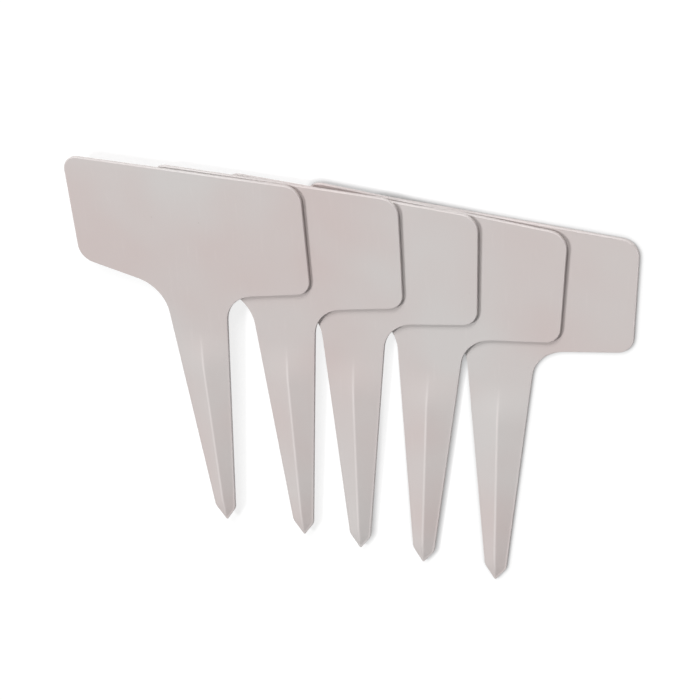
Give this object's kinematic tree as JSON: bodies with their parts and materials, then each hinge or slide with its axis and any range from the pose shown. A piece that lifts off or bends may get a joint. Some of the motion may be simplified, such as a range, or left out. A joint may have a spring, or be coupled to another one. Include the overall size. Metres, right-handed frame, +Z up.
{
  "type": "plant label stake set",
  "caption": "T-shaped plant labels with a wide writing head and a ridged tapered spike, laid out flat as an overlapping fan.",
  "frame": {"origin": "on the table, under the middle of the bottom stake's head", "axes": "+Z up from the table, +Y from the spike tips to the heads along the bottom stake, +X to the right, away from the fan"},
  "size_m": [0.135, 0.1018, 0.0052],
  "materials": {
    "label_plastic": "light warm grey moulded plastic, satin, with a fine writing grain"
  },
  "bodies": {
    "bottom_stake": {"bottom_stake": "label_plastic"},
    "fourth_stake": {"fourth_stake": "label_plastic"},
    "third_stake": {"third_stake": "label_plastic"},
    "second_stake": {"second_stake": "label_plastic"},
    "top_stake": {"top_stake": "label_plastic"}
  },
  "joints": [
    {"name": "fourth_lift", "type": "slide", "parent": "bottom_stake", "child": "fourth_stake", "axis": [0, 0, 1], "range_m": [0, 0.04]},
    {"name": "third_lift", "type": "slide", "parent": "fourth_stake", "child": "third_stake", "axis": [0, 0, 1], "range_m": [0, 0.04]},
    {"name": "second_lift", "type": "slide", "parent": "third_stake", "child": "second_stake", "axis": [0, 0, 1], "range_m": [0, 0.04]},
    {"name": "top_lift", "type": "slide", "parent": "second_stake", "child": "top_stake", "axis": [0, 0, 1], "range_m": [0, 0.04]}
  ]
}
